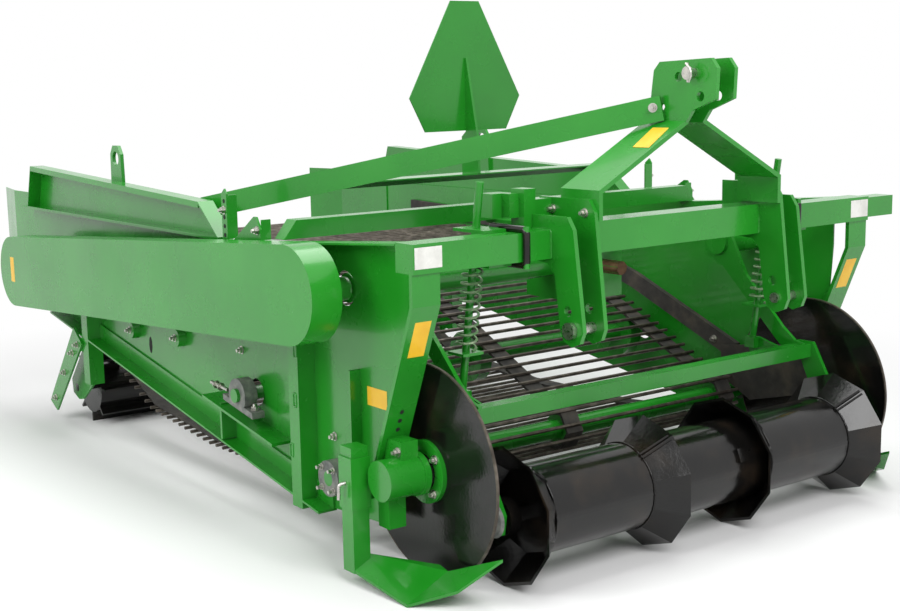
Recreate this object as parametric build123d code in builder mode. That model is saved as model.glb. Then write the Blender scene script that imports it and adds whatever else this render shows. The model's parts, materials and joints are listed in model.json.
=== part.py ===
from build123d import *
import math
import os

# Two-row potato digger for a tractor's three-point linkage.
# X runs forward to the tractor, Y to the machine's left, Z up from the ground.
# The origin is on the ground, half way along and half way across.

# Front beam
front_x = 1385          # front face of the side tubes
beam_size = 70
beam_z = 810            # centre height
centre_size = 80
beam_half = 830
stub_end = 952

# Side panels
panel_y = 770           # inner face
panel_t = 5
panel_rear = -1172
panel_out = panel_y + panel_t
rail_wide = 53          # posts and rails stand out this far from the panel
rail_out = panel_out + rail_wide

# Hitch
pin_x = front_x + 73
pin_z = 605
pin_d = 28
hitch_outer_y = 409     # middle of the outer plate
hitch_inner_y = 339     # middle of the inner plate
hitch_t = 12
top_pin_x = pin_x + 35
top_pin_z = pin_z + 610
top_pin_d = 25
mast_gap = 52
mast_t = 12

# Ridge roller and discs
disc_x = 1277
disc_r = 268
disc_z = disc_r + 4
disc_y = 720            # middle of the disc
disc_t = 6
roller_x = 1438
rim_r = 175
drum_r = 112
rim_y = (150, 619)      # cone rims on each half
cone_run = 72           # length of a cone along the drum
petal_t = 5
shoe_y = 878            # middle of the share shoe's post
shoe_t = 7              # upright thickness of its plates

# Rear roller
rear_roller_x = -812
rear_roller_r = 135
roller_gap = 35         # rear roller's end to the panel
rear_roller_half = panel_y - roller_gap
hanger_gap = 4          # hanger to the panel's outer face
hanger_t = 8
plate_gap = 1           # outer hanger plate to the rail's edge
board_end = -1603.7     # rear end of the discharge boards

# Web
web_half = 700
front_shaft = (958, 196)
mid_shaft = (528, 347)
rear_shaft = (-949, 568)
rod_d = 11
belt_t = 8
belt_w = 60
belt_y = (-650, 0, 650)

# Drive
drive_front = (1013, 700)
guard_in = rail_out + 38
guard_deep = 86
guard_out = guard_in + guard_deep
guard_sheet = 4
guard_r = 126
pto_z = 694


def block(x0, x1, y0, y1, z0, z1, mode=Mode.ADD):
    with Locations(((x0 + x1) / 2, (y0 + y1) / 2, (z0 + z1) / 2)):
        Box(abs(x1 - x0), abs(y1 - y0), abs(z1 - z0), mode=mode)


def side_plate(points, y0, y1, mode=Mode.ADD):
    # flat plate drawn in X and Z, from y0 to y1
    with BuildSketch(Plane.XZ.offset(-max(y0, y1))) as flat:
        with BuildLine():
            Polyline(*points, close=True)
        make_face()
    extrude(flat.sketch, amount=abs(y1 - y0), mode=mode)


def cross_plate(points, x0, x1, mode=Mode.ADD):
    # flat plate drawn in Y and Z, from x0 to x1
    with BuildSketch(Plane.YZ.offset(min(x0, x1))) as flat:
        with BuildLine():
            Polyline(*points, close=True)
        make_face()
    extrude(flat.sketch, amount=abs(x1 - x0), mode=mode)


def rod_y(x, z, r, y0, y1, mode=Mode.ADD):
    with Locations(Location((x, (y0 + y1) / 2, z), (90, 0, 0))):
        Cylinder(r, abs(y1 - y0), mode=mode)


def rod_x(y, z, r, x0, x1, mode=Mode.ADD):
    with Locations(Location(((x0 + x1) / 2, y, z), (0, 90, 0))):
        Cylinder(r, abs(x1 - x0), mode=mode)


def bar_between(a, b, wide, high, mode=Mode.ADD):
    # straight bar from a to b, its wide side level
    a = Vector(*a)
    b = Vector(*b)
    along = (b - a).normalized()
    level = Vector(0, 0, 1).cross(along).normalized()
    place = Plane(origin=(a + b) * 0.5, x_dir=level, z_dir=along)
    with Locations(place.location):
        Box(wide, high, (b - a).length, mode=mode)


def rod_between(a, b, r, mode=Mode.ADD):
    # round bar from a to b
    a = Vector(*a)
    b = Vector(*b)
    place = Plane(origin=(a + b) * 0.5, z_dir=(b - a).normalized())
    with Locations(place.location):
        Cylinder(r, (b - a).length, mode=mode)


def sheet(points, thick, mode=Mode.ADD):
    # flat sheet from corners in one plane, thickened to one side
    face = Face(Wire.make_polygon([Vector(*p) for p in points], close=True))
    extrude(face, amount=thick, mode=mode)


def mirror_y(points, s):
    return [(x, s * y, z) for x, y, z in points]


def keep(piece, name):
    piece.part.label = name
    export_step(piece.part, f"parts/{name}.step")


os.makedirs("parts", exist_ok=True)
for old in os.listdir("parts"):
    os.remove(f"parts/{old}")

beam_back = front_x - beam_size
centre_front = front_x + 10
centre_back = centre_front - centre_size
beam_low = beam_z - beam_size / 2
beam_top = beam_z + beam_size / 2
centre_low = beam_z - 33
centre_top = centre_low + centre_size
inner_face = hitch_inner_y - hitch_t / 2
brace_a = (pin_x - 62, 46, 1129)
brace_b = (pin_x - 1215, 772, 857)

# Front beam: two side tubes, a larger middle tube and the stub past the left leg
with BuildPart() as front_beam:
    block(beam_back, front_x, -beam_half, beam_half, beam_low, beam_top)
    block(centre_back, centre_front, -inner_face, inner_face, centre_low, centre_top)
    block(beam_back + 6, front_x - 4, beam_half, stub_end, beam_low + 8, beam_top - 4)
keep(front_beam, "front_beam")

# Cross tube over the side panels, with sloping ends
with BuildPart() as cross_tube:
    cross_plate([(-790, 802), (790, 802), (750, 852), (-750, 852)], 690, 740)
keep(cross_tube, "cross_tube")

for side, s in (("right", -1), ("left", 1)):
    # Lower hitch bracket: two plates round the front beam, pierced for the pin
    with BuildPart() as hitch:
        for y, top, back in ((hitch_outer_y, 880, beam_back + 0.3), (hitch_inner_y, 918, front_x - 122)):
            outline = [(back, top), (pin_x - 15, top), (pin_x + 6, top - 30), (pin_x + 41, pin_z),
                       (pin_x + 29, pin_z - 29), (pin_x, pin_z - 41), (pin_x - 29, pin_z - 29),
                       (pin_x - 41, pin_z), (pin_x - 60, 735), (pin_x - 85, 762), (back, 768)]
            side_plate(outline, s * (y - hitch_t / 2), s * (y + hitch_t / 2))
        block(beam_back, front_x, s * 325, s * 425, beam_low, beam_top, mode=Mode.SUBTRACT)
        rod_y(pin_x, pin_z, pin_d / 2, s * 320, s * 430, mode=Mode.SUBTRACT)
        rod_y(pin_x - 13, pin_z + 46, 13, s * 320, s * 430, mode=Mode.SUBTRACT)
    keep(hitch, f"hitch_bracket_{side}")

    # Mast plate, bent twice, from the top link pin out and down to the bracket
    up_in = mast_gap / 2
    up_out = up_in + mast_t
    low_out = inner_face - 0.3
    low_in = low_out - mast_t
    with BuildPart() as mast:
        cross_plate([(s * up_in, 1160), (s * up_out, 1160), (s * up_out, 1097), (s * low_out, 940),
                     (s * low_out, 865), (s * low_in, 865), (s * low_in, 933), (s * up_in, 1090)],
                    pin_x - 128, pin_x + 10)
        side_plate([(pin_x - 112, 1140), (pin_x - 100, 1224), (pin_x - 80, 1245), (pin_x + 92, 1250),
                    (pin_x + 112, 1225), (pin_x + 108, 1150), (pin_x + 32, 1122), (pin_x + 10, 1092),
                    (pin_x - 128, 1092), (pin_x - 128, 1120)], s * up_in, s * up_out)
        side_plate([(pin_x - 130, 1118), (pin_x - 112, 1140), (pin_x - 108, 1165), (pin_x - 130, 1165)],
                   s * (up_in - 1), s * (up_out + 1), mode=Mode.SUBTRACT)
        for x, z in ((top_pin_x - 50, 1206), (top_pin_x, top_pin_z), (top_pin_x + 24, 1157)):
            rod_y(x, z, top_pin_d / 2, s * 10, s * 60, mode=Mode.SUBTRACT)
        rod_y(pin_x - 70, 1130, 10, s * 10, s * 60, mode=Mode.SUBTRACT)
    keep(mast, f"mast_plate_{side}")

    # Upright behind the beam, with a short arm towards the spring rod
    with BuildPart() as upright:
        block(beam_back - 50, beam_back, s * 403, s * 440, beam_low, 943)
        block(beam_back - 50, beam_back - 5, s * (hitch_inner_y + 6.3), s * 403, 850, 915)
        block(beam_back - 100, beam_back - 50, s * 440, s * 500, 872, 932)
        block(beam_back - 50, beam_back - 20, s * 440, s * 470, 872, 932)
    keep(upright, f"upright_{side}")

    # Long brace from the mast back to the side wall
    with BuildPart() as brace:
        bar_between((brace_a[0], s * brace_a[1], brace_a[2]), (brace_b[0], s * brace_b[1], brace_b[2]), 12, 64)
        block(pin_x - 200, pin_x + 20, s * 0, s * (up_out + 0.3), 1000, 1200, mode=Mode.SUBTRACT)
        block(pin_x - 1300, pin_x - 1000, s * 779.7, s * 850, 700, 1000, mode=Mode.SUBTRACT)
    keep(brace, f"brace_{side}")

    # Side panel with a folded top edge
    with BuildPart() as panel:
        top = [(front_x - 75, 842), (760, 800), (455, 785), (panel_rear, 785)]
        side_plate(top + [(panel_rear, 520), (-930, 408), (930, 102), (1188, 120), (1188, 280), (1300, 556),
                          (front_x - 75, 700)], s * panel_y, s * panel_out)
        for (xa, za), (xb, zb) in zip(top, top[1:]):
            side_plate([(xa, za), (xb, zb), (xb, zb - panel_t), (xa, za - panel_t)],
                       s * panel_y, s * rail_out)
        block(689, 741, s * 700, s * 830, 801.8, 900, mode=Mode.SUBTRACT)
        rod_y(mid_shaft[0], mid_shaft[1], 40, s * 760, s * 780, mode=Mode.SUBTRACT)
        rod_y(front_shaft[0], front_shaft[1], 30, s * 760, s * 780, mode=Mode.SUBTRACT)
        rod_y(rear_shaft[0], rear_shaft[1], 30, s * 760, s * 780, mode=Mode.SUBTRACT)
        if s < 0:
            rod_y(drive_front[0], drive_front[1], 45, s * 760, s * 780, mode=Mode.SUBTRACT)
    keep(panel, f"side_panel_{side}")

    # Posts and sloping rails on the outside of the panel
    rail = [(-930, 408), (930, 102)]
    with BuildPart() as frame_side:
        block(800, 850, s * panel_out, s * rail_out, 90, 540)
        block(-632, -582, s * panel_out, s * rail_out, 187, 470)
        block(1062, 1070, s * panel_out, s * (panel_out + 32), 118, 500)
        block(395, 405, s * panel_out, s * rail_out, 192, 300)
        side_plate([rail[0], rail[1], (930, 96), (-930, 402)], s * panel_y, s * rail_out)
        side_plate([rail[0], rail[1], (930, 152), (-930, 458)], s * panel_out, s * (panel_out + 6))
        side_plate([(308, 312), (717, 244), (717, 236), (308, 304)], s * panel_out, s * (rail_out + 12))
    keep(frame_side, f"side_frame_{side}")

    # Front leg that carries the disc's bearing housing
    hub_in = disc_y + 26
    hub_out = 866
    with BuildPart() as leg:
        top = [(front_x - 6, beam_low), (front_x - 6, 698), (front_x - 176, 280)]
        bottom = [(x - 12, z) for x, z in reversed(top)]
        with BuildSketch(Plane.XZ.offset(-830 if s > 0 else 750)) as bent:
            with BuildLine():
                Polyline(*(top + bottom), close=True)
            make_face()
        extrude(bent.sketch, amount=80)
        rod_y(disc_x, disc_z, 50, s * hub_in, s * hub_out)
        block(disc_x - 50, disc_x + 20, s * 765, s * 815, disc_z + 30, disc_z + 90)
        block(1217, 1262, s * 780, s * 830, 140, 226)
    keep(leg, f"front_leg_{side}")

    # Plain disc with its bolted flange
    with BuildPart() as disc:
        rod_y(disc_x, disc_z, disc_r, s * (disc_y - disc_t / 2), s * (disc_y + disc_t / 2))
        rod_y(disc_x, disc_z, 78, s * (disc_y + disc_t / 2), s * (disc_y + disc_t / 2 + 12))
        rod_y(disc_x, disc_z, 44, s * (disc_y + 14), s * (hub_in - 0.4))
    keep(disc, f"disc_{side}")

    # Pinned post and folded plate of the outer share shoe
    with BuildPart() as shoe:
        block(1164, 1212, s * (shoe_y - 24), s * (shoe_y + 24), 30, 345)
        heel, corner, inner = (1200, 902, 34), (1405, 884, 0), (1402, 760, 53)
        back, rear_in, edge, tip = (1358, 752, 55), (1190, 850, 60), (1491, 800, 40), (1561, 722, 118)
        for a, b, c in ((heel, corner, rear_in), (corner, inner, rear_in), (inner, back, rear_in),
                        (corner, edge, inner), (inner, edge, tip)):
            plate = Face(Wire.make_polygon([Vector(*p) for p in mirror_y([a, b, c], s)], close=True))
            extrude(plate, amount=shoe_t, dir=(0, 0, 1))
    keep(shoe, f"share_shoe_{side}")

    # Folded side board above the panel: back wall, lips and sloping front plate
    with BuildPart() as board:
        wall = [(440, 785.3), (320, 884), (-1034, 940), (-1090, 785.3)]
        side_plate(wall, s * 780, s * 784)
        side_plate([(320, 884), (-1034, 940), (-1034, 936), (320, 880)], s * 784, s * 830)
        side_plate([(320, 884), (-1034, 940), (-1034, 922), (320, 866)], s * 826, s * 830)
        side_plate([(440, 785.3), (-1090, 785.3), (-1090, 789.3), (440, 789.3)], s * 784, s * 830)
        side_plate([(440, 785.3), (320, 884), (316, 880), (436, 785.3)], s * 784, s * 830)
        side_plate([(-1090, 785.3), (-1034, 940), (-1030, 940), (-1086, 785.3)], s * 784, s * 830)
        side_plate([(-410, 860), (-320, 860), (-325, 1000), (-345, 1028), (-385, 1028), (-405, 1000)],
                   s * 768, s * 780)
        rod_y(-365, 985, 24, s * 750, s * 800, mode=Mode.SUBTRACT)
    keep(board, f"side_board_{side}")

    # Perforated strap and triangular bracket beside the side board
    with BuildPart() as strap:
        side_plate([(473, 770), (503, 770), (503, 915), (492, 930), (473, 915)], s * rail_out, s * (rail_out + 5))
        block(498, 503, s * 800, s * rail_out, 790, 912)
        side_plate([(520, 778), (690, 790), (690, 830), (670, 862), (655, 862)], s * rail_out, s * (rail_out + 6))
        block(684, 689, s * 800, s * rail_out, 800, 855)
    keep(strap, f"board_strap_{side}")

    # Rear discharge board, bent inwards at its end
    with BuildPart() as rear_board:
        block(panel_rear - 220, -1030, s * 765, s * 770, 560, 830)
        sheet(mirror_y([(panel_rear - 220, 765, 560), (board_end, 725, 560), (board_end, 725, 830),
                        (panel_rear - 220, 765, 830)], s), 4 * s)
    keep(rear_board, f"rear_board_{side}")

sides = (-1, 1)

# Pins of the lower links
with BuildPart() as pins:
    for s in sides:
        rod_y(pin_x, pin_z, pin_d / 2 - 0.05, s * 325, s * 422)
        rod_y(pin_x, pin_z, 21, s * (hitch_outer_y + hitch_t / 2 + 0.3), s * 428)
keep(pins, "lower_link_pins")

# Sockets of the share shoes, held off the side panels
with BuildPart() as sockets:
    for s in sides:
        block(1160, 1216, s * (shoe_y - 28), s * (shoe_y + 28), 190, 320)
        block(1163.7, 1212.3, s * (shoe_y - 24.3), s * (shoe_y + 24.3), 100, 340, mode=Mode.SUBTRACT)
        block(1165, 1187, s * panel_out, s * (shoe_y - 28), 200, 262)
keep(sockets, "shoe_sockets")

# Rubber strips along the web and the black plates at its front
with BuildPart() as strips:
    for s in sides:
        side_plate([(960, 352), (500, 540), (0, 690), (-830, 720), (-830, 660), (0, 640), (490, 484),
                    (960, 290)], s * 752, s * 770)
        side_plate([(940, 350), (1270, 400), (1310, 330), (1290, 250), (1060, 190), (940, 250)],
                   s * 704, s * 709)
        block(950, 990, s * 709, s * 770, 270, 310)
keep(strips, "rubber_strips")

# Bearing housings of the web's shafts
with BuildPart() as bearings:
    for s in sides:
        with BuildSketch(Plane.XZ.offset(-840 if s > 0 else 800)) as pillow:
            with Locations((mid_shaft[0], mid_shaft[1])):
                Circle(48)
            with BuildLine():
                Polyline((mid_shaft[0] - 85, 318.6), (mid_shaft[0] + 85, 290.2), (mid_shaft[0] + 85, 310),
                         (mid_shaft[0] - 85, 338), close=True)
            make_face()
        extrude(pillow.sketch, amount=40)
        side_plate([(308, 290), (717, 222), (717, 275.4), (308, 343.6)], s * 790, s * 850, mode=Mode.SUBTRACT)
        rod_y(mid_shaft[0], mid_shaft[1], 20, s * 790, s * 850, mode=Mode.SUBTRACT)
        for x, z in (front_shaft, rear_shaft):
            rod_y(x, z, 48, s * panel_out, s * 812)
            rod_y(x, z, 20, s * 770, s * 820, mode=Mode.SUBTRACT)
keep(bearings, "shaft_bearings")

# Rods, guides and springs that press the ridge roller down
rod_top = (1280, 966)
rod_low = (1198, 436)
lean = (rod_top[0] - rod_low[0]) / (rod_top[1] - rod_low[1])


def rod_x_at(z):
    return rod_low[0] + lean * (z - rod_low[1])


with BuildPart() as spring_rods:
    for s in sides:
        rod_between((rod_low[0], s * 550, rod_low[1]), (rod_top[0], s * 550, rod_top[1]), 10)
        block(rod_x_at(533) - 32, rod_x_at(533) + 32, s * 518, s * 582, 530, 537)
keep(spring_rods, "spring_rods")

with BuildPart() as guides:
    for s in sides:
        block(1215, beam_back + 40, s * 515, s * 585, 764, 774)
        block(1215, beam_back + 20, s * 515, s * 585, beam_top + 0.3, beam_top + 8)
        block(1288, beam_back - 0.3, s * 515, s * 585, 764, beam_top + 8)
        rod_between((rod_x_at(400), s * 550, 400), (rod_x_at(1000), s * 550, 1000), 10.3, mode=Mode.SUBTRACT)
        for z in (beam_top + 8.3, beam_low - 8.3):
            rod_x(s * 500, z, 8, 1260, front_x + 8)
        with Locations((front_x + 8.3, s * 500, beam_z)):
            Cylinder(8, beam_size + 32)
        block(1260, 1300, s * 500, s * 520, 764, 774)
        block(1260, 1300, s * 500, s * 520, beam_top + 0.3, beam_top + 8)
keep(guides, "spring_guides")

coil_r = 25             # middle of the spring's wire
wire_r = 3.5
turns = 10
corners = 14            # straight lengths in each turn
with BuildPart() as springs:
    for s in sides:
        low_z, high_z = 544.6, 763.9
        foot = Vector(rod_x_at(low_z), s * 550, low_z)
        rise = Vector(rod_x_at(high_z), s * 550, high_z) - foot
        place = Plane(origin=foot, x_dir=(1, 0, 0), z_dir=rise.normalized())
        wire = []
        for i in range(turns * corners + 1):
            angle = 2 * math.pi * i / corners
            along = rise.length * i / (turns * corners)
            wire.append(place.from_local_coords(
                Vector(coil_r * math.cos(angle), coil_r * math.sin(angle), along)))
        with BuildLine() as coil:
            Polyline(*wire)
        with BuildSketch(Plane(origin=wire[0], z_dir=wire[1] - wire[0])) as section:
            RegularPolygon(wire_r, 6)
        sweep(section.sketch, path=coil.wires()[0], transition=Transition.RIGHT)
keep(springs, "springs")

# Mast head pin and the brace bolt through both mast plates
with BuildPart() as top_pin:
    rod_y(top_pin_x, top_pin_z, top_pin_d / 2 - 0.05, -62, 62)
    rod_y(top_pin_x, top_pin_z, 17, -62, -55)
keep(top_pin, "top_link_pin")

# Slow-vehicle plate on its tapered post
smv_x = 523
with BuildPart() as smv:
    side_w = 214
    cross_plate([(-54, 1451), (54, 1451), (side_w, 1162), (158, 1059), (-158, 1059), (-side_w, 1162)],
                smv_x, smv_x + 4)
keep(smv, "slow_vehicle_plate")
bar_z = 925
with BuildPart() as smv_post:
    side_plate([(smv_x - 16, bar_z + 4), (smv_x + 66, bar_z + 4), (smv_x + 60, 1040), (smv_x + 10, 1280),
                (smv_x + 4.3, 1280), (smv_x + 4.3, 1056), (smv_x - 16, 1040)], -4, 4)
    block(smv_x - 18, smv_x + 62, -640, 640, bar_z, bar_z + 4)
    block(smv_x - 18, smv_x - 14, -640, 640, bar_z - 20, bar_z)
    for s in sides:
        run = Vector(brace_b[0] - brace_a[0], s * (brace_b[1] - brace_a[1]), 0).normalized()
        shift = Vector(abs(run.Y), s * abs(run.X), 0) * 94
        bar_between(Vector(brace_a[0], s * brace_a[1], brace_a[2]) + shift,
                    Vector(brace_b[0], s * brace_b[1], brace_b[2]) + shift, 200.6, 400, mode=Mode.SUBTRACT)
keep(smv_post, "plate_post")

# Chain guard on the right side
gx0, gz0 = rear_shaft[0], rear_shaft[1]
gx1, gz1 = drive_front
tilt = math.atan2(gz1 - gz0, gx1 - gx0)


def guard_outline(y, r, deep, mode=Mode.ADD):
    # long rounded cover from y outwards, with its ends round the two shafts
    cos, sin = r * math.cos(tilt), r * math.sin(tilt)
    with BuildSketch(Plane.XZ.offset(y)) as case:
        with BuildLine():
            Line((gx0 - sin, gz0 + cos), (gx1 - sin, gz1 + cos))
            ThreePointArc((gx1 - sin, gz1 + cos), (gx1 + cos, gz1 + sin), (gx1 + sin, gz1 - cos))
            Line((gx1 + sin, gz1 - cos), (gx0 + sin, gz0 - cos))
            ThreePointArc((gx0 + sin, gz0 - cos), (gx0 - cos, gz0 - sin), (gx0 - sin, gz0 + cos))
        make_face()
    extrude(case.sketch, amount=deep, mode=mode)


# Sheet cover, hollow, with a long opening in its back between the shafts
with BuildPart() as guard:
    guard_outline(guard_in, guard_r, guard_deep)
    guard_outline(guard_in + guard_sheet, guard_r - guard_sheet, guard_deep - 2 * guard_sheet, mode=Mode.SUBTRACT)
    bar_between((gx0 + 160, -guard_in, gz0 + 160 * math.tan(tilt)), (430, -guard_in, gz0 + (430 - gx0) * math.tan(tilt)),
                3 * guard_sheet, 140, mode=Mode.SUBTRACT)
    rod_y(gx1, gz1, 30, -guard_in, -panel_out)
    rod_y(gx0, gz0, 30, -guard_in, -813)
    block(500, 560, -guard_in, -rail_out, 640, 700)
    block(500, 560, -rail_out, -panel_out, 640, 700)
keep(guard, "chain_guard")

# Gearbox with its input stub and the cross drive tube
with BuildPart() as gearbox:
    block(1013 - 95, 1013 + 95, -95, 95, 600, 790)
    rod_x(0, pto_z, 45, 1108, 1135)
    rod_x(0, pto_z, 17.5, 1135, 1206)
    rod_y(drive_front[0], drive_front[1], 38, -769.7, -95)
    block(692, beam_back, -60, 60, 790, 802)
keep(gearbox, "gearbox")
# Roller frame: side arms, cross bar and the clevis brackets of the spring rods
with BuildPart() as roller_frame:
    for s in (-1, 1):
        side_plate([(1000, 752), (1050, 748), (1124, 608), (1266, 466), (1310, 432), (1340, 425),
                    (1340, 380), (1290, 388), (1246, 424), (1030, 630), (962, 660), (955, 720)],
                   s * 600, s * 612)
        rod_y(drive_front[0], drive_front[1], 38.3, s * 590, s * 620, mode=Mode.SUBTRACT)
        side_plate([(1290, 425), (1345, 425), (1478, 190), (1470, 142), (1410, 142), (1394, 180),
                    (1300, 380)], s * 640, s * 652)
        rod_y(roller_x, rim_r, 20.05, s * 638, s * 654, mode=Mode.SUBTRACT)
        block(1180, 1216, s * 535, s * 565, 402, 434)
        side_plate([(1180, 434), (1216, 434), (1300, 412), (1300, 390), (1200, 372), (1180, 390)],
                   s * 556, s * 564)
    block(1300, 1340, -640, 640, 380, 420)
    rod_y(drive_front[0], drive_front[1], 38.3, 590, 620, mode=Mode.SUBTRACT)
    rod_y(drive_front[0], drive_front[1], 38, 590, 769.7)
keep(roller_frame, "roller_frame")

# Ridge roller: drum with four cones of flat petals and its stub shafts
petals = 10
petal_turn = 180 / petals        # one corner of each rim points straight down
with BuildPart() as ridge_roller:
    rod_y(roller_x, rim_r, drum_r, -(rim_y[1] - cone_run), rim_y[1] - cone_run)
    for rim, direction in ((-rim_y[1], -1), (-rim_y[0], 1), (rim_y[0], -1), (rim_y[1], 1)):
        base = rim - direction * cone_run
        with BuildPart(mode=Mode.PRIVATE) as outer:
            with BuildSketch(Plane(origin=(roller_x, base, rim_r), x_dir=(1, 0, 0), z_dir=(0, direction, 0))):
                RegularPolygon(drum_r + 3, petals, rotation=petal_turn)
            with BuildSketch(Plane(origin=(roller_x, rim, rim_r), x_dir=(1, 0, 0), z_dir=(0, direction, 0))):
                RegularPolygon(rim_r, petals, rotation=petal_turn)
            loft()
        with BuildPart(mode=Mode.PRIVATE) as inner:
            with BuildSketch(Plane(origin=(roller_x, base, rim_r), x_dir=(1, 0, 0), z_dir=(0, direction, 0))):
                RegularPolygon(drum_r - 5, petals, rotation=petal_turn)
            with BuildSketch(Plane(origin=(roller_x, rim, rim_r), x_dir=(1, 0, 0), z_dir=(0, direction, 0))):
                RegularPolygon(rim_r - 8, petals, rotation=petal_turn)
            loft()
        add(outer.part - inner.part)
    for s in (-1, 1):
        rod_y(roller_x, rim_r, 20, s * 500, s * 650)
        rod_y(roller_x, rim_r, 46, s * 600, s * 632)
keep(ridge_roller, "ridge_roller")

# Rear roller: tube with flat bars, and its hanging plates
with BuildPart() as rear_roller:
    rod_y(rear_roller_x, rear_roller_r, 100, -rear_roller_half, rear_roller_half)
    bars = 8
    for i in range(bars):
        turn = 360 / bars * i
        with Locations(Location((rear_roller_x, 0, rear_roller_r), (0, turn, 0))):
            with Locations((0, 0, 116)):
                Box(8, 2 * rear_roller_half, 38)
    axle_end = panel_out + hanger_gap + hanger_t
    rod_y(rear_roller_x, rear_roller_r, 15, -axle_end, axle_end)
keep(rear_roller, "rear_roller")
hanger_in = panel_out + hanger_gap
hanger_out = hanger_in + hanger_t
plate_in = rail_out + plate_gap
with BuildPart() as roller_hangers:
    for s in (-1, 1):
        side_plate([(-632.3, 240), (-640, 330), (-700, 330), (-860, 160), (-852, 110), (-800, 92), (-760, 100),
                    (-632.3, 190)], s * hanger_in, s * hanger_out)
        rod_y(rear_roller_x, rear_roller_r, 15.05, s * (hanger_in - 3), s * (hanger_out + 3), mode=Mode.SUBTRACT)
        side_plate([(-690, 380), (-620, 330), (-900, 40), (-960, 70)], s * plate_in, s * (plate_in + hanger_t))
        block(-690, -632.3, s * hanger_out, s * plate_in, 300, 350)
keep(roller_hangers, "rear_roller_hangers")

# Web: endless belts with cross rods
fx, fz = front_shaft
rx, rz = rear_shaft
path = [(fx + 62, fz), (fx + 30, fz + 54), (fx - 32, fz + 62), (528, 447), (0, 636), (rx, rz + 78),
        (rx - 55, rz + 55), (rx - 78, rz), (rx - 55, rz - 55), (rx, rz - 78), (-690, 262), (-380, 130),
        (60, 94), (560, 100), (fx - 30, fz - 60), (fx + 30, fz - 52)]
lengths = []
for (xa, za), (xb, zb) in zip(path, path[1:] + path[:1]):
    lengths.append(math.hypot(xb - xa, zb - za))
total = sum(lengths)
rods = round(total / 44)
steps = [sum(lengths[:i]) for i in range(len(lengths) + 1)]
with BuildPart() as belts:
    for y in belt_y:
        with BuildSketch(Plane.XZ.offset(-(y + belt_w / 2))) as loop:
            with BuildLine():
                Polyline(*path, close=True)
            make_face()
            offset(amount=-belt_t, mode=Mode.SUBTRACT)
        extrude(loop.sketch, amount=belt_w)
keep(belts, "web_belts")

# Rods across the belts, six-sided, each resting on the belts' outer face
rod_rise = rod_d / 2 * math.cos(math.pi / 6) + 0.3
rod_ends = []
for k in range(rods):
    run = (k + 0.5) * total / rods
    i = max(j for j in range(len(path)) if steps[j] <= run)
    (xa, za), (xb, zb) = path[i], (path + path[:1])[i + 1]
    part_way = (run - steps[i]) / lengths[i]
    dx, dz = (xb - xa) / lengths[i], (zb - za) / lengths[i]
    place = (xa + (xb - xa) * part_way + dz * rod_rise, -web_half, za + (zb - za) * part_way - dx * rod_rise)
    rod_ends.append(Plane(origin=place, x_dir=(dx, 0, dz), z_dir=(0, 1, 0)))
with BuildPart() as web_rods:
    with BuildSketch(*rod_ends) as section:
        RegularPolygon(rod_d / 2, 6)
    extrude(amount=2 * web_half)
keep(web_rods, "web_rods")

# Shafts that carry the web
with BuildPart() as shafts:
    for (x, z), r, end in ((front_shaft, 44.5, 812), (mid_shaft, 82, 850), (rear_shaft, 63.4, 812)):
        rod_y(x, z, 19.95, -end, end)
        rod_y(x, z, 30, -690, 690)
        for y in belt_y:
            rod_y(x, z, r, y - 22, y + 22)
keep(shafts, "web_shafts")

# Digging blade between the ridge roller and the web
with BuildPart() as blade:
    side_plate([(1225, 48), (1235, 56), (1045, 148), (1030, 140)], -686, 686)
    for s in (-1, 1):
        side_plate([(1225, 60), (1060, 140), (900, 128), (880, 118), (900, 100), (1040, 116), (1190, 40)],
                   s * 703, s * 711)
        block(1045, 1080, s * 680, s * 711, 128, 138)
        block(870, 920, s * 703, s * 769.7, 105, 122)
keep(blade, "digging_blade")
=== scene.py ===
import bpy
import bmesh
import json
import math
from mathutils import Matrix, Vector


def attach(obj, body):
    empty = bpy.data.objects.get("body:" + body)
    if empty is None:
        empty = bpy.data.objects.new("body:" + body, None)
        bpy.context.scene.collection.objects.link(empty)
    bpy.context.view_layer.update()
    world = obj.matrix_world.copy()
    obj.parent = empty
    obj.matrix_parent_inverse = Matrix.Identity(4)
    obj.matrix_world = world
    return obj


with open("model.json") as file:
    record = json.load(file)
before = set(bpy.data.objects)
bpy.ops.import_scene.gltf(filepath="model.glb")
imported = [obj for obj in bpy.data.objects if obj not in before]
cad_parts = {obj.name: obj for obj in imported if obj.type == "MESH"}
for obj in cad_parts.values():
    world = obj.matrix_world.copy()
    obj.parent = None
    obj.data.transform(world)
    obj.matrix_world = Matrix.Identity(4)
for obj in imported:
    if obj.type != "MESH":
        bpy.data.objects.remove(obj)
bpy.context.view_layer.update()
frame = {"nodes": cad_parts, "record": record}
nodes = frame["nodes"]
hands = (("right", -1), ("left", 1))
print("frame loaded")


# finishes
def shader(name, color, rough, metal=0.0, coat=0.0):
    material = bpy.data.materials.new(name)
    material.use_nodes = True
    tree = material.node_tree
    bsdf = tree.nodes["Principled BSDF"]
    bsdf.inputs["Base Color"].default_value = (*color, 1)
    bsdf.inputs["Roughness"].default_value = rough
    bsdf.inputs["Metallic"].default_value = metal
    bsdf.inputs["Coat Weight"].default_value = coat
    bsdf.inputs["Coat Roughness"].default_value = 0.08
    return material, tree, bsdf


def noise(tree, scale, detail=4.0):
    place = tree.nodes.new("ShaderNodeTexCoord")
    cloud = tree.nodes.new("ShaderNodeTexNoise")
    cloud.inputs["Scale"].default_value = scale
    cloud.inputs["Detail"].default_value = detail
    tree.links.new(place.outputs["Object"], cloud.inputs["Vector"])
    return cloud.outputs["Fac"]


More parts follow.
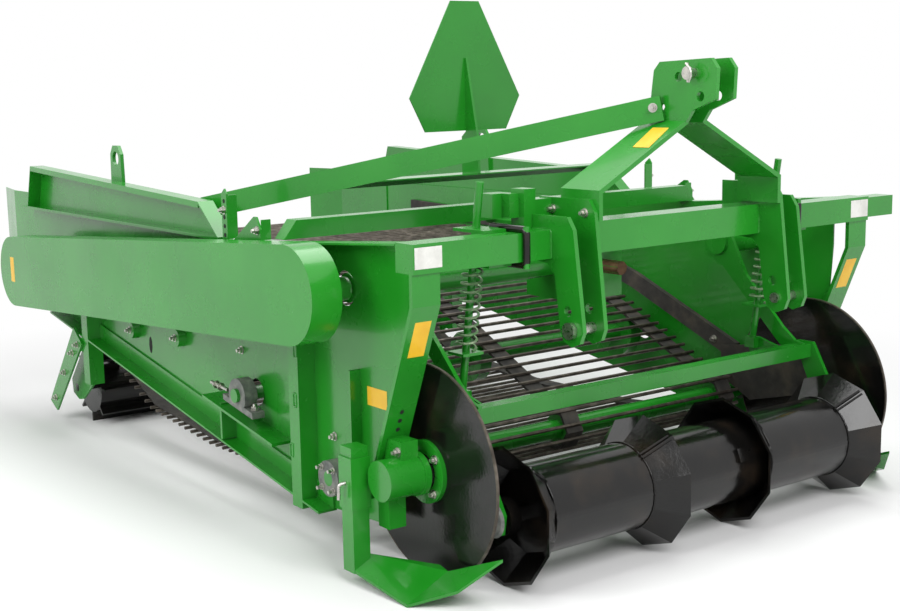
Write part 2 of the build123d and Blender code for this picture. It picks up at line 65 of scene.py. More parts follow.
def ramp(tree, value, stops):
    band = tree.nodes.new("ShaderNodeValToRGB")
    for place, color in stops[2:]:
        band.color_ramp.elements.new(place)
    for element, (place, color) in zip(band.color_ramp.elements, stops):
        element.position = place
        element.color = (*color, 1)
    tree.links.new(value, band.inputs["Fac"])
    return band.outputs["Color"]


def bumpy(tree, bsdf, value, strength, distance):
    bump = tree.nodes.new("ShaderNodeBump")
    bump.inputs["Strength"].default_value = strength
    bump.inputs["Distance"].default_value = distance
    tree.links.new(value, bump.inputs["Height"])
    tree.links.new(bump.outputs["Normal"], bsdf.inputs["Normal"])


def spread(tree, bsdf, value, low, high):
    levels = tree.nodes.new("ShaderNodeMapRange")
    levels.inputs["From Min"].default_value = 0.3
    levels.inputs["From Max"].default_value = 0.7
    levels.inputs["To Min"].default_value = low
    levels.inputs["To Max"].default_value = high
    tree.links.new(value, levels.inputs["Value"])
    tree.links.new(levels.outputs["Result"], bsdf.inputs["Roughness"])


# name: three colours from shaded to worn, noise scale, roughness range, metal, coat, bump
finishes = {
    "greenPaint": [(0.009, 0.200, 0.010), (0.012, 0.235, 0.013), (0.022, 0.275, 0.020),
                   3, 0.20, 0.32, 0.0, 0.3, 0.0006],
    "springGreen": [(0.05, 0.20, 0.05), (0.16, 0.27, 0.13), (0.34, 0.38, 0.28),
                    40, 0.3, 0.5, 0.4, 0.0, 0.0002],
    # painted shade: near-black colours for the shade inside holes
    "darkHole": [(0.002, 0.003, 0.002), (0.004, 0.006, 0.004), (0.008, 0.010, 0.008),
                 30, 0.7, 0.9, 0.0, 0.0, 0.0001],
    "blackGloss": [(0.003, 0.003, 0.003), (0.006, 0.0055, 0.005), (0.024, 0.017, 0.011),
                   9, 0.08, 0.24, 0.0, 0.2, 0.0015],
    "bareSteel": [(0.05, 0.042, 0.035), (0.10, 0.085, 0.07), (0.22, 0.19, 0.16),
                  30, 0.35, 0.6, 0.8, 0.0, 0.0006],
    "zincPlate": [(0.42, 0.41, 0.38), (0.55, 0.54, 0.50), (0.66, 0.64, 0.58),
                  60, 0.22, 0.4, 1.0, 0.0, 0.0002],
    "castGrey": [(0.09, 0.10, 0.095), (0.17, 0.18, 0.165), (0.28, 0.28, 0.25),
                 45, 0.45, 0.7, 0.3, 0.0, 0.001],
    "dustyRubber": [(0.015, 0.014, 0.013), (0.035, 0.031, 0.027), (0.09, 0.075, 0.055),
                    18, 0.6, 0.85, 0.0, 0.0, 0.001],
    "rustyStub": [(0.07, 0.03, 0.015), (0.13, 0.065, 0.03), (0.22, 0.12, 0.06),
                  50, 0.45, 0.7, 0.5, 0.0, 0.0008],
    "yellowLabel": [(0.75, 0.42, 0.01), (0.82, 0.48, 0.015), (0.86, 0.53, 0.03),
                    20, 0.35, 0.5, 0.0, 0.2, 0.0001],
    "paleReflector": [(0.62, 0.62, 0.58), (0.74, 0.74, 0.70), (0.80, 0.80, 0.77),
                      25, 0.25, 0.4, 0.0, 0.3, 0.0001],
}
grain = {"stops": (0.28, 0.52, 0.80), "roughTimes": 2.3,
         "bumpTimes": 12, "bumpDetail": 6.0, "bumpStrength": 0.25}
blackMirror = 0.3
materials = {}
for name, (dark, middle, worn, scale, low, high, metal, coat, bump) in finishes.items():
    material, tree, bsdf = shader(name, middle, high, metal, coat)
    cloud = noise(tree, scale)
    colors = ramp(tree, cloud, list(zip(grain["stops"], (dark, middle, worn))))
    tree.links.new(colors, bsdf.inputs["Base Color"])
    spread(tree, bsdf, noise(tree, scale * grain["roughTimes"]), low, high)
    relief = noise(tree, scale * grain["bumpTimes"], grain["bumpDetail"])
    bumpy(tree, bsdf, relief, grain["bumpStrength"], bump)
    materials[name] = material
blackBsdf = materials["blackGloss"].node_tree.nodes["Principled BSDF"]
blackBsdf.inputs["Specular IOR Level"].default_value = blackMirror
print("finishes made")

# which finish each CAD piece takes
slotFinish = {"green_paint": "greenPaint", "black_paint": "blackGloss", "steel": "bareSteel",
              "zinc": "zincPlate", "cast_grey": "castGrey", "black_rubber": "dustyRubber"}
nodeSlots = {entry["node"]: entry["material_slot"] for entry in frame["record"]["subparts"]}
nodeFinish = {"springs": "springGreen", "web_shafts": "greenPaint"}
for name, piece in nodes.items():
    piece.data.materials.clear()
    piece.data.materials.append(materials[nodeFinish.get(name, slotFinish[nodeSlots[name]])])
print("finishes given to", len(nodes), "pieces")

# shapes of the fittings
def settle(name, mesh, finish, body):
    piece = bpy.data.objects.new(name, mesh)
    mesh.materials.clear()
    mesh.materials.append(materials[finish])
    bpy.context.collection.objects.link(piece)
    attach(piece, body)
    return piece


def closeForm(form, name):
    bmesh.ops.recalc_face_normals(form, faces=form.faces)
    mesh = bpy.data.meshes.new(name)
    form.to_mesh(mesh)
    form.free()
    return mesh


def turnedRing(profile, center, steps=64):
    form = bmesh.new()
    rings = []
    for k in range(steps):
        angle = 2 * math.pi * k / steps
        rings.append([form.verts.new((center[0] + r * math.cos(angle), y, center[1] + r * math.sin(angle)))
                      for r, y in profile])
    for k in range(steps):
        here, after = rings[k], rings[(k + 1) % steps]
        for i in range(len(profile)):
            j = (i + 1) % len(profile)
            form.faces.new((here[i], after[i], after[j], here[j]))
    return closeForm(form, "ring")


def slab(corners, thick, out):
    form = bmesh.new()
    step = Vector(out).normalized() * thick
    low = [form.verts.new(corner) for corner in corners]
    high = [form.verts.new(Vector(corner) + step) for corner in corners]
    form.faces.new(low)
    form.faces.new(high[::-1])
    for i in range(len(low)):
        j = (i + 1) % len(low)
        form.faces.new((low[i], low[j], high[j], high[i]))
    return closeForm(form, "slab")


def evaluated(holder):
    return bpy.data.meshes.new_from_object(holder.evaluated_get(bpy.context.evaluated_depsgraph_get()))


def bandProfile(inner, outer, near, far):
    return [(inner, near), (outer, near), (outer, far), (inner, far)]


def ringPoints(center, radius, turns, y):
    return [(center[0] + radius * math.cos(math.radians(turn)), y,
             center[1] + radius * math.sin(math.radians(turn))) for turn in turns]


def bentBar(paths, radius, name, finish, body):
    curve = bpy.data.curves.new(name, "CURVE")
    curve.dimensions = "3D"
    curve.bevel_depth = radius
    curve.bevel_resolution = 3
    curve.use_fill_caps = True
    for path in paths:
        line = curve.splines.new("POLY")
        line.points.add(len(path) - 1)
        for point, place in zip(line.points, path):
            point.co = (*place, 1)
    holder = bpy.data.objects.new(name + "Line", curve)
    bpy.context.collection.objects.link(holder)
    mesh = evaluated(holder)
    bpy.data.objects.remove(holder)
    return settle(name, mesh, finish, body)


def newTree(name, sizes):
    tree = bpy.data.node_groups.new(name, "GeometryNodeTree")
    tree.interface.new_socket("Geometry", in_out="INPUT", socket_type="NodeSocketGeometry")
    tree.interface.new_socket("Geometry", in_out="OUTPUT", socket_type="NodeSocketGeometry")
    for label, value in sizes.items():
        tree.interface.new_socket(label, in_out="INPUT", socket_type="NodeSocketFloat").default_value = value
    tree.interface.new_socket("Finish", in_out="INPUT", socket_type="NodeSocketMaterial")
    return tree


# fasteners: one tree sets a part on every marked point
def fastenerTree(name, sizes, build):
    tree = newTree(name, sizes)
    start = tree.nodes.new("NodeGroupInput")
    end = tree.nodes.new("NodeGroupOutput")
    shape = build(tree, start)
    facing = tree.nodes.new("GeometryNodeInputNamedAttribute")
    facing.data_type = "FLOAT_VECTOR"
    facing.inputs["Name"].default_value = "facing"
    turn = tree.nodes.new("FunctionNodeAlignRotationToVector")
    turn.axis = "Z"
    scatter = tree.nodes.new("GeometryNodeInstanceOnPoints")
    realize = tree.nodes.new("GeometryNodeRealizeInstances")
    paint = tree.nodes.new("GeometryNodeSetMaterial")
    links = tree.links
    links.new(facing.outputs["Attribute"], turn.inputs["Vector"])
    links.new(start.outputs["Geometry"], scatter.inputs["Points"])
    links.new(shape, scatter.inputs["Instance"])
    links.new(turn.outputs["Rotation"], scatter.inputs["Rotation"])
    links.new(scatter.outputs["Instances"], realize.inputs["Geometry"])
    links.new(realize.outputs["Geometry"], paint.inputs["Geometry"])
    links.new(start.outputs["Finish"], paint.inputs["Material"])
    links.new(paint.outputs["Geometry"], end.inputs["Geometry"])
    return tree


def roundPart(tree, start, sides, radiusLabel, depthLabel, lift):
    body = tree.nodes.new("GeometryNodeMeshCylinder")
    body.inputs["Vertices"].default_value = sides
    tree.links.new(start.outputs[radiusLabel], body.inputs["Radius"])
    tree.links.new(start.outputs[depthLabel], body.inputs["Depth"])
    raised = tree.nodes.new("ShaderNodeMath")
    raised.operation = "MULTIPLY"
    raised.inputs[1].default_value = lift
    tree.links.new(start.outputs[depthLabel], raised.inputs[0])
    place = tree.nodes.new("ShaderNodeCombineXYZ")
    tree.links.new(raised.outputs[0], place.inputs["Z"])
    move = tree.nodes.new("GeometryNodeTransform")
    tree.links.new(body.outputs["Mesh"], move.inputs["Geometry"])
    tree.links.new(place.outputs[0], move.inputs["Translation"])
    return move.outputs["Geometry"]


def buildBolt(tree, start):
    join = tree.nodes.new("GeometryNodeJoinGeometry")
    for sides, radius, depth, lift in ((20, "Washer Radius", "Washer Depth", 0.5),
                                       (6, "Head Radius", "Head Depth", 0.62),
                                       (12, "Thread Radius", "Thread Depth", 0.5)):
        tree.links.new(roundPart(tree, start, sides, radius, depth, lift), join.inputs[0])
    return join.outputs[0]


# painted shade: a thin flat disc that stands in for the shade inside a round hole
def buildHoleShade(tree, start):
    return roundPart(tree, start, 20, "Hole Radius", "Hole Depth", 0.0)


boltSizes = {"Washer Radius": 0.012, "Washer Depth": 0.002, "Head Radius": 0.0095, "Head Depth": 0.009,
             "Thread Radius": 0.005, "Thread Depth": 0.018}
holeShadeSizes = {"Hole Radius": 0.006, "Hole Depth": 0.0008}
trees = {"bolt": fastenerTree("bolts", boltSizes, buildBolt),
         "hole": fastenerTree("holeShades", holeShadeSizes, buildHoleShade)}


def scatterFasteners(name, kind, spots, finish, body, sizes=None):
    mesh = bpy.data.meshes.new(name + "Spots")
    mesh.from_pydata([spot[0] for spot in spots], [], [])
    facing = mesh.attributes.new("facing", "FLOAT_VECTOR", "POINT")
    for value, spot in zip(facing.data, spots):
        value.vector = spot[1]
    holder = bpy.data.objects.new(name + "Spots", mesh)
    bpy.context.collection.objects.link(holder)
    modifier = holder.modifiers.new("fasteners", "NODES")
    modifier.node_group = trees[kind]
    for item in trees[kind].interface.items_tree:
        if item.in_out != "INPUT" or item.socket_type == "NodeSocketGeometry":
            continue
        if item.name == "Finish":
            modifier[item.identifier] = materials[finish]
        elif sizes and item.name in sizes:
            modifier[item.identifier] = sizes[item.name]
    result = evaluated(holder)
    holder.modifiers.remove(modifier)
    bpy.data.objects.remove(holder)
    return settle(name, result, finish, body)


def bothSides(spots):
    return [((x, s * y, z), (nx, s * ny, nz)) for s in (-1, 1) for (x, y, z), (nx, ny, nz) in spots]


# bolts on the machine for one side, mirrored to the other: places in mm, then those that face another way
outward = (0, 1, 0)
legOut = (0.926, 0, -0.377)
pillowUp = (0.1625, 0, 0.987)
machineBolts = [((x / 1000, y / 1000, z / 1000), outward) for x, y, z in (
    (1314, 345, 889), (1431, 345, 885), (449, 775, 458), (940, 775, 300), (-662, 837, 322), (-712, 837, 285),
    (-800, 837, 200), (-900, 837, 90), (487, 833, 870), (674, 834, 826), (60, 800, 442), (-280, 800, 422))]
machineBolts += [((0.466, 0.820, 0.3342), pillowUp), ((0.590, 0.820, 0.3138), pillowUp),
                 ((0.867, 0.752, 0.355), (0, -1, 0)), ((1.2845, 0.815, 0.337), outward)]
scatterFasteners("machineBolts", "bolt", bothSides(machineBolts), "zincPlate", "machine")
flangeWork = {"centers": ((0.958, 0.196), (-0.949, 0.568)), "boltRing": 0.039, "face": 0.812,
              "turns": (45, 135, 225, 315)}
flangeBolts = []
for center in flangeWork["centers"]:
    places = ringPoints(center, flangeWork["boltRing"], flangeWork["turns"], flangeWork["face"])
    flangeBolts += [(place, outward) for place in places]
scatterFasteners("flangeBolts", "bolt", bothSides(flangeBolts), "zincPlate", "machine",
                 {"Washer Radius": 0.0085, "Head Radius": 0.007, "Head Depth": 0.007})
braceBolts = [((1.380, 0.0632, 1.130), (0.533, 0.846, 0))]
scatterFasteners("braceBolts", "bolt", bothSides(braceBolts), "zincPlate", "machine")

# each disc's green flange with bolts, worn rim and hub collar, and the pin of the share shoe beside it
discWork = {"axis": (1.277, 0.272), "bore": 0.046, "flange": 0.0785, "flangeFaces": (0.7232, 0.7353),
            "boltRing": 0.062, "boltTurns": (40, 130, 220, 310), "rimOuter": 0.2680, "rimWide": 0.0030,
            "rimFaces": (0.7166, 0.7234), "skin": 0.0004,
            "collar": (0.0502, 0.0545), "collarFaces": (0.750, 0.766)}
shoePinRadius = 0.0045
for side, s in hands:
    body = "disc_" + side
    inner, outer = (s * y for y in discWork["flangeFaces"])
    flangeProfile = [(discWork["bore"], inner), (discWork["flange"], inner),
                     (discWork["flange"] + discWork["skin"], outer), (discWork["bore"], outer)]
    flange = turnedRing(flangeProfile, discWork["axis"])
    settle("discFlange_" + side, flange, "greenPaint", body)
    rimInner, rimOuter = discWork["rimOuter"] - discWork["rimWide"], discWork["rimOuter"] + discWork["skin"]
    rimProfile = bandProfile(rimInner, rimOuter, *(s * y for y in discWork["rimFaces"]))
    settle("discRim_" + side, turnedRing(rimProfile, discWork["axis"], 128), "bareSteel", body)
    spots = [(place, (0, s, 0)) for place in ringPoints(discWork["axis"], discWork["boltRing"],
                                                        discWork["boltTurns"], outer)]
    scatterFasteners("discBolts_" + side, "bolt", spots, "zincPlate", body,
                     {"Thread Depth": 0.014, "Head Depth": 0.007})
    collarProfile = bandProfile(*discWork["collar"], *(s * y for y in discWork["collarFaces"]))
    collar = turnedRing(collarProfile, discWork["axis"])
    settle("hubCollar_" + side, collar, "greenPaint", "machine")
    pinPath = [(1.188, s * 0.903, 0.255), (1.188, s * 0.918, 0.255), (1.184, s * 0.922, 0.250),
               (1.182, s * 0.922, 0.215)]
    bentBar([pinPath], shoePinRadius, "shoePin_" + side, "zincPlate", "machine")
print("discs dressed")

# painted shade: dark discs flush on the legs and the straps stand in for the shade inside their round holes
legHoles = {"top": (1.2695, 0.790, 0.4285), "step": (0.0095, 0.0234), "count": 3}
holeShades = [((legHoles["top"][0] - k * legHoles["step"][0], legHoles["top"][1],
           legHoles["top"][2] - k * legHoles["step"][1]), legOut) for k in range(legHoles["count"])]
holeShades += [((0.488, 0.8333, z), outward) for z in (0.800, 0.825, 0.850, 0.895)]
scatterFasteners("adjustHoleShades", "hole", bothSides(holeShades), "darkHole", "machine")

# black bars that clamp the spring guides round the beam
clampPath = ((1.262, 0.8533), (1.385, 0.8533), (1.3915, 0.850), (1.3940, 0.843),
             (1.3940, 0.777), (1.3915, 0.770), (1.385, 0.7667), (1.262, 0.7667))
clampY, clampRadius = 0.5, 0.0092
clamps = [[(x, s * clampY, z) for x, z in clampPath] for s in (-1, 1)]
bentBar(clamps, clampRadius, "beamClamps", "blackGloss", "machine")

# linchpin through the top link pin: its shank and its bow
linchpinRadius = 0.003
bentBar([[(1.493, -0.058, 1.240), (1.493, -0.058, 1.192)],
         [(1.493, -0.066, 1.238), (1.512, -0.070, 1.226), (1.516, -0.070, 1.208), (1.506, -0.068, 1.193)]],
        linchpinRadius, "linchpin", "zincPlate", "machine")

# take-up screw with nuts beside each pillow bearing, idler bosses, and a dark patch of painted shade for the
# oval hole in each panel
takeUp = {"y": 0.822, "radius": 0.006, "ends": ((0.340, 0.352), (0.442, 0.345)),
          "nuts": ((0.372, 0.3498), (0.400, 0.3479)), "facing": (-0.9977, 0, 0.0685)}
idlers = {"centers": {"front": (0.060, 0.442), "rear": (-0.280, 0.422)},
          "profile": ((0.0005, 0.7745), (0.030, 0.7745), (0.028, 0.800), (0.0005, 0.800))}
ovalHoleShade = {"center": (-0.176, 0.383), "half": (0.011, 0.027), "face": 0.7752, "thick": 0.0004, "points": 24}
for side, s in hands:
    screw = [(x, s * takeUp["y"], z) for x, z in takeUp["ends"]]
    bentBar([screw], takeUp["radius"], "takeUpScrew_" + side, "zincPlate", "machine")
    nuts = [((x, s * takeUp["y"], z), takeUp["facing"]) for x, z in takeUp["nuts"]]
    scatterFasteners("takeUpNuts_" + side, "bolt", nuts, "zincPlate", "machine",
                     {"Thread Depth": 0.006})
    for place, center in idlers["centers"].items():
        boss = turnedRing([(r, s * y) for r, y in idlers["profile"]], center, 32)
        settle("idlerBoss_" + place + "_" + side, boss, "greenPaint", "machine")
    # painted shade: a flat dark oval stands in for the shade inside the panel's oval hole
    oval = []
    for k in range(ovalHoleShade["points"]):
        angle = k * 2 * math.pi / ovalHoleShade["points"]
        oval.append((ovalHoleShade["center"][0] + ovalHoleShade["half"][0] * math.cos(angle), s * ovalHoleShade["face"],
                     ovalHoleShade["center"][1] + ovalHoleShade["half"][1] * math.sin(angle)))
    patch = slab(oval, ovalHoleShade["thick"], (0, s, 0))
    settle("ovalHoleShade_" + side, patch, "darkHole", "machine")

# blank stickers and pale reflectors
labelThick = 0.0005
labels = {
    "legLabel": [[(1.365, 0.765, 0.665), (1.365, 0.812, 0.665),
                  (1.328, 0.812, 0.572), (1.328, 0.765, 0.572)], legOut],
    "panelLabel": [[(1.100, 0.7752, 0.462), (1.186, 0.7752, 0.462),
                    (1.186, 0.7752, 0.414), (1.100, 0.7752, 0.414)], outward],
}
for name, (corners, out) in labels.items():
    for side, s in hands:
        turned = [(x, s * y, z) for x, y, z in corners]
        facing = (out[0], s * out[1], out[2])
        settle(name + "_" + side, slab(turned, labelThick, facing), "yellowLabel", "machine")
rightLabels = {
    "guardLabel_right": [[(-0.966, -0.9518, 0.620), (-0.930, -0.9518, 0.620),
                          (-0.930, -0.9518, 0.530), (-0.966, -0.9518, 0.530)], (0, -1, 0)],
    "mastLabel_right": [[(1.402, -0.156, 1.0347), (1.458, -0.156, 1.0347),
                         (1.444, -0.071, 1.0798), (1.388, -0.071, 1.0798)], (0, -0.47, 0.883)],
}
for name, (corners, facing) in rightLabels.items():
    settle(name, slab(corners, labelThick, facing), "yellowLabel", "machine")
reflector = {"face": 1.3852, "thick": 0.0008,
             "corners": ((0.748, 0.787), (0.826, 0.787), (0.826, 0.837), (0.748, 0.837))}
for side, s in hands:
    corners = [(reflector["face"], s * y, z) for y, z in reflector["corners"]]
    plate = slab(corners, reflector["thick"], (1, 0, 0))
    settle("reflector_" + side, plate, "paleReflector", "machine")
print("labels and reflectors set")

# splined input stub
stub = {"z": 0.694, "root": 0.0176, "tip": 0.0190, "splines": 6, "run": (1.1355, 1.2065)}
stubPoints = stub["splines"] * 4
form = bmesh.new()
ends = []
for x in stub["run"]:
    ring = []
    for k in range(stubPoints):
        radius = stub["tip"] if k % 4 < 2 else stub["root"]
        angle = 2 * math.pi * (k + 0.5) / stubPoints
        ring.append(form.verts.new((x, radius * math.cos(angle), stub["z"] + radius * math.sin(angle))))
    ends.append(ring)
form.faces.new(ends[0][::-1])
form.faces.new(ends[1])
for k in range(stubPoints):
    j = (k + 1) % stubPoints
    form.faces.new((ends[0][k], ends[0][j], ends[1][j], ends[1][k]))
settle("splinedStub", closeForm(form, "stub"), "rustyStub", "machine")

# welds: beads with an uneven radius
def weldTree():
    tree = newTree("welds", {"Bead Radius": 0.003, "Bead Step": 0.004, "Unevenness": 0.5})
    start, end = tree.nodes.new("NodeGroupInput"), tree.nodes.new("NodeGroupOutput")
    line = tree.nodes.new("GeometryNodeMeshToCurve")
    walk = tree.nodes.new("GeometryNodeResampleCurve")
    walk.mode = "LENGTH"
    wobble = tree.nodes.new("FunctionNodeRandomValue")
    wobble.inputs["Seed"].default_value = 7
    shrink = tree.nodes.new("ShaderNodeMath")
    shrink.operation = "SUBTRACT"
    shrink.inputs[0].default_value = 1.0
    outline = tree.nodes.new("GeometryNodeCurvePrimitiveCircle")
    outline.inputs["Resolution"].default_value = 6
    skin = tree.nodes.new("GeometryNodeCurveToMesh")
    skin.inputs["Fill Caps"].default_value = True
    realize = tree.nodes.new("GeometryNodeRealizeInstances")
    paint = tree.nodes.new("GeometryNodeSetMaterial")
    links = tree.links
    links.new(start.outputs["Geometry"], line.inputs["Mesh"])
    links.new(line.outputs["Curve"], walk.inputs["Curve"])
    links.new(start.outputs["Bead Step"], walk.inputs["Length"])
    links.new(start.outputs["Unevenness"], shrink.inputs[1])
    links.new(shrink.outputs[0], wobble.inputs[2])
    links.new(start.outputs["Bead Radius"], outline.inputs["Radius"])
    links.new(walk.outputs["Curve"], skin.inputs["Curve"])
    links.new(outline.outputs["Curve"], skin.inputs["Profile Curve"])
    links.new(wobble.outputs[1], skin.inputs["Scale"])
    links.new(skin.outputs["Mesh"], realize.inputs["Geometry"])
    links.new(realize.outputs["Geometry"], paint.inputs["Geometry"])
    links.new(start.outputs["Finish"], paint.inputs["Material"])
    links.new(paint.outputs["Geometry"], end.inputs["Geometry"])
    return tree


welds = weldTree()


def runWelds(name, paths, finish, body):
    points, edges = [], []
    for path in paths:
        edges += [(len(points) + i, len(points) + i + 1) for i in range(len(path) - 1)]
        points += path
    mesh = bpy.data.meshes.new(name + "Lines")
    mesh.from_pydata(points, edges, [])
    holder = bpy.data.objects.new(name + "Lines", mesh)
    bpy.context.collection.objects.link(holder)
    modifier = holder.modifiers.new("welds", "NODES")
    modifier.node_group = welds
    for item in welds.interface.items_tree:
        if item.in_out == "INPUT" and item.name == "Finish":
            modifier[item.identifier] = materials[finish]
    result = evaluated(holder)
    holder.modifiers.remove(modifier)
    bpy.data.objects.remove(holder)
    return settle(name, result, finish, body)


# welds at the hitch plates on the beam, and plug welds on the side posts
beamWelds = []
for s in (-1, 1):
    for y in (0.403, 0.415):
        beamWelds.append([(1.3855, s * y, 0.776), (1.3855, s * y, 0.844), (1.318, s * y, 0.8455)])
    beamWelds.append([(1.3855, s * 0.3335, 0.777), (1.3955, s * 0.3335, 0.779), (1.3955, s * 0.3335, 0.822)])
runWelds("beamWelds", beamWelds, "greenPaint", "machine")
plugs = {"centers": ((0.840, 0.522), (0.831, 0.386), (0.805, 0.244)), "face": 0.8283,
         "loop": ((-0.007, -0.018), (0.007, -0.018), (0.007, 0.018), (-0.007, 0.018), (-0.007, -0.018))}
plugWelds = [[(x + across, s * plugs["face"], z + high) for across, high in plugs["loop"]]
             for s in (-1, 1) for x, z in plugs["centers"]]
runWelds("plugWelds", plugWelds, "greenPaint", "machine")

# ridge roller: raised seams on two petals of each cone, welds at the cones' feet, a lug and end bearings
roller = {"axis": (1.438, 0.175), "foot": 0.1135, "rim": 0.173, "run": 0.072,
          "rims": (-0.619, -0.150, 0.150, 0.619), "openings": (-1, 1, -1, 1),
          "seamTurns": (54, 198), "seamShifts": (-0.006, 0.006), "seamHigh": 0.007, "seamWide": 0.005,
          "seamSunk": 0.002, "seamShort": (0.008, 0.004), "seamLean": 0.85, "weldStep": 9,
          "lugTurn": 22.9, "lugY": 0.109, "lugSeat": 0.110, "lugHalf": 0.018, "lugHigh": 0.010}
rollerAxis = Vector((roller["axis"][0], 0, roller["axis"][1]))


def spokes(degrees):
    angle = math.radians(degrees)
    return Vector((math.cos(angle), 0, math.sin(angle))), Vector((-math.sin(angle), 0, math.cos(angle)))


seams = bmesh.new()
feet = []
for rimY, direction in zip(roller["rims"], roller["openings"]):
    footY = rimY - direction * roller["run"]
    for turn in roller["seamTurns"]:
        away, across = spokes(turn)
        for shift in roller["seamShifts"]:
            low = (rollerAxis + away * (roller["foot"] - roller["seamSunk"])
                   + Vector((0, footY, 0)) + across * shift)
            high = (rollerAxis + away * (roller["rim"] - roller["seamShort"][0])
                    + Vector((0, rimY - direction * roller["seamShort"][1], 0)) + across * shift)
            lift = (away - Vector((0, direction, 0)) * roller["seamLean"]).normalized() * roller["seamHigh"]
            wide = across * roller["seamWide"] / 2
            corners = [low - wide, low + wide, high + wide, high - wide]
            base = [seams.verts.new(corner) for corner in corners]
            top = [seams.verts.new(corner + lift) for corner in corners]
            seams.faces.new(base)
            seams.faces.new(top[::-1])
            for i in range(4):
                j = (i + 1) % 4
                seams.faces.new((base[i], base[j], top[j], top[i]))
    feet.append(ringPoints(roller["axis"], roller["foot"], range(0, 361, roller["weldStep"]), footY))
settle("petalSeams", closeForm(seams, "seams"), "blackGloss", "ridge_roller")
away, across = spokes(roller["lugTurn"])
seat = Vector((roller["axis"][0], roller["lugY"], roller["axis"][1])) + away * roller["lugSeat"]
lug = [seat + across * (a * roller["lugHalf"]) + Vector((0, b * roller["lugHalf"], 0))
       for a, b in ((-1, -1), (1, -1), (1, 1), (-1, 1))]
settle("drumLug", slab(lug, roller["lugHigh"], away), "blackGloss", "ridge_roller")
runWelds("coneWelds", feet, "blackGloss", "ridge_roller")
bearingProfile = ((0.0203, 0.6522), (0.046, 0.6522), (0.042, 0.660), (0.030, 0.668), (0.0203, 0.668))
for side, s in hands:
    housing = turnedRing([(r, s * y) for r, y in bearingProfile], roller["axis"], 40)
    settle("rollerBearing_" + side, housing, "castGrey", "machine")
print("ridge roller dressed")

# floor that fades to white
def mathNode(tree, operation):
    node = tree.nodes.new("ShaderNodeMath")
    node.operation = operation
    return node


floorMesh = bpy.data.meshes.new("floor")
floorHalf = 30
floorCorners = [(a * floorHalf, b * floorHalf, 0) for a, b in ((-1, -1), (1, -1), (1, 1), (-1, 1))]
floorMesh.from_pydata(floorCorners, [], [(0, 1, 2, 3)])
floor = bpy.data.objects.new("floor", floorMesh)
bpy.context.collection.objects.link(floor)
floorMaterial, floorTree, floorBsdf = shader("paleFloor", (0.86, 0.86, 0.86), 0.9)
floorBsdf.inputs["Specular IOR Level"].default_value = 0.1
floorPlace = floorTree.nodes.new("ShaderNodeTexCoord")
floorReach = floorTree.nodes.new("ShaderNodeVectorMath")
floorReach.operation = "LENGTH"
floorFade = floorTree.nodes.new("ShaderNodeMapRange")
floorFade.interpolation_type = "SMOOTHSTEP"
floorFade.inputs["From Min"].default_value = 1.6
floorFade.inputs["From Max"].default_value = 3.0
floorGlow = floorTree.nodes.new("ShaderNodeEmission")
floorMix = floorTree.nodes.new("ShaderNodeMixShader")
floorPath = floorTree.nodes.new("ShaderNodeLightPath")
floorSeen = mathNode(floorTree, "MAXIMUM")
floorShown = mathNode(floorTree, "MULTIPLY")
floorTree.links.new(floorPlace.outputs["Object"], floorReach.inputs[0])
floorTree.links.new(floorReach.outputs["Value"], floorFade.inputs["Value"])
floorTree.links.new(floorPath.outputs["Is Camera Ray"], floorSeen.inputs[0])
floorTree.links.new(floorPath.outputs["Is Glossy Ray"], floorSeen.inputs[1])
floorTree.links.new(floorSeen.outputs[0], floorShown.inputs[0])
floorTree.links.new(floorFade.outputs["Result"], floorShown.inputs[1])
floorTree.links.new(floorShown.outputs[0], floorMix.inputs["Fac"])
floorTree.links.new(floorBsdf.outputs[0], floorMix.inputs[1])
floorTree.links.new(floorGlow.outputs[0], floorMix.inputs[2])
floorTree.links.new(floorMix.outputs[0], floorTree.nodes["Material Output"].inputs["Surface"])
floorMesh.materials.append(floorMaterial)

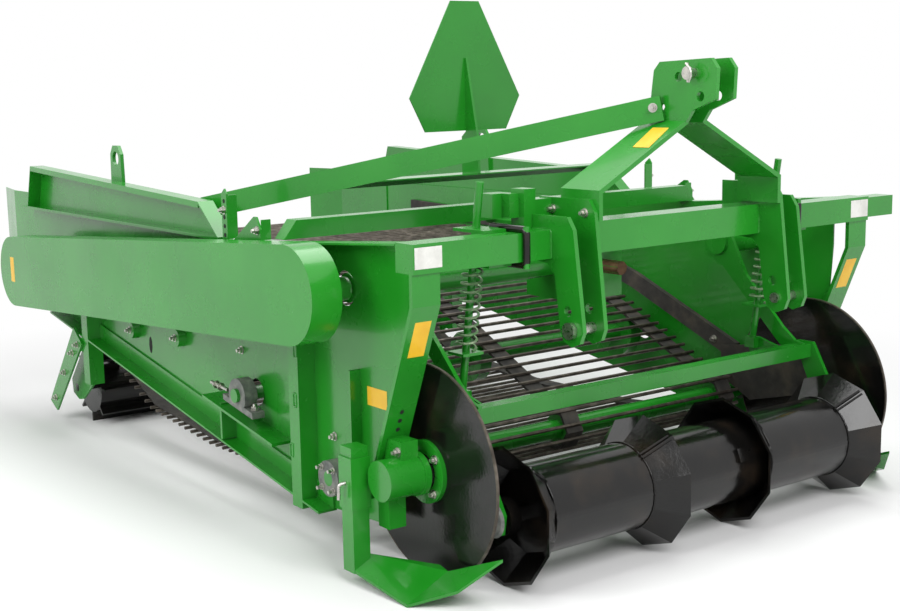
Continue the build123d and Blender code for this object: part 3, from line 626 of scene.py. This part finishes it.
# white where the world is seen or mirrored, dimmer where it only lights
world = bpy.data.worlds.new("studio")
bpy.context.scene.world = world
world.use_nodes = True
worldTree = world.node_tree
lightPath = worldTree.nodes.new("ShaderNodeLightPath")
either = mathNode(worldTree, "MAXIMUM")
anyOf = mathNode(worldTree, "MAXIMUM")
worldTree.links.new(lightPath.outputs["Is Camera Ray"], either.inputs[0])
worldTree.links.new(lightPath.outputs["Is Glossy Ray"], either.inputs[1])
worldTree.links.new(either.outputs[0], anyOf.inputs[0])
worldTree.links.new(lightPath.outputs["Is Transmission Ray"], anyOf.inputs[1])
strength = worldTree.nodes.new("ShaderNodeMapRange")
strength.inputs["To Min"].default_value = 0.45
strength.inputs["To Max"].default_value = 1.0
worldTree.links.new(anyOf.outputs[0], strength.inputs["Value"])
worldTree.links.new(strength.outputs["Result"], worldTree.nodes["Background"].inputs["Strength"])
worldTree.nodes["Background"].inputs["Color"].default_value = (1, 1, 1, 1)

lampAim = Vector((0.2, 0, 0.5))
lamps = {  # name: place, size, watts
    "frontLamp": [(4.5, -1.0, 3.6), 2.4, 150],
    "sideLamp": [(0.4, -4.6, 3.2), 3.0, 130],
    "topLamp": [(0.2, 0.6, 4.4), 3.2, 120],
}
for name, (place, size, watts) in lamps.items():
    light = bpy.data.lights.new(name, "AREA")
    light.size = size
    light.energy = watts
    lamp = bpy.data.objects.new(name, light)
    lamp.location = place
    lamp.rotation_euler = (lampAim - Vector(place)).to_track_quat("-Z", "Y").to_euler()
    bpy.context.collection.objects.link(lamp)

# camera
shot = {"azimuth": 55.2116, "elevation": 9.3562, "roll": -1.4239, "lens": 54.245,
        "place": (3.8673, -2.6085, 1.2034), "shiftX": 0.0615, "shiftY": 0.0033}
az, el, roll = (math.radians(shot[key]) for key in ("azimuth", "elevation", "roll"))
back = Vector((math.sin(az) * math.cos(el), -math.cos(az) * math.cos(el), math.sin(el)))
right = Vector((math.cos(az), math.sin(az), 0))
up = back.cross(right)
rightTurned = right * math.cos(roll) + up * math.sin(roll)
upTurned = up * math.cos(roll) - right * math.sin(roll)
cameraData = bpy.data.cameras.new("camera")
cameraData.lens = shot["lens"]
cameraData.sensor_width = 36
cameraData.sensor_fit = "HORIZONTAL"
cameraData.shift_x = shot["shiftX"]
cameraData.shift_y = shot["shiftY"]
camera = bpy.data.objects.new("camera", cameraData)
turned = Matrix((rightTurned, upTurned, back)).transposed().to_4x4()
camera.matrix_world = Matrix.Translation(shot["place"]) @ turned
bpy.context.collection.objects.link(camera)
bpy.context.scene.camera = camera
bpy.context.scene.view_settings.view_transform = "Standard"
print("stage, light and camera set")
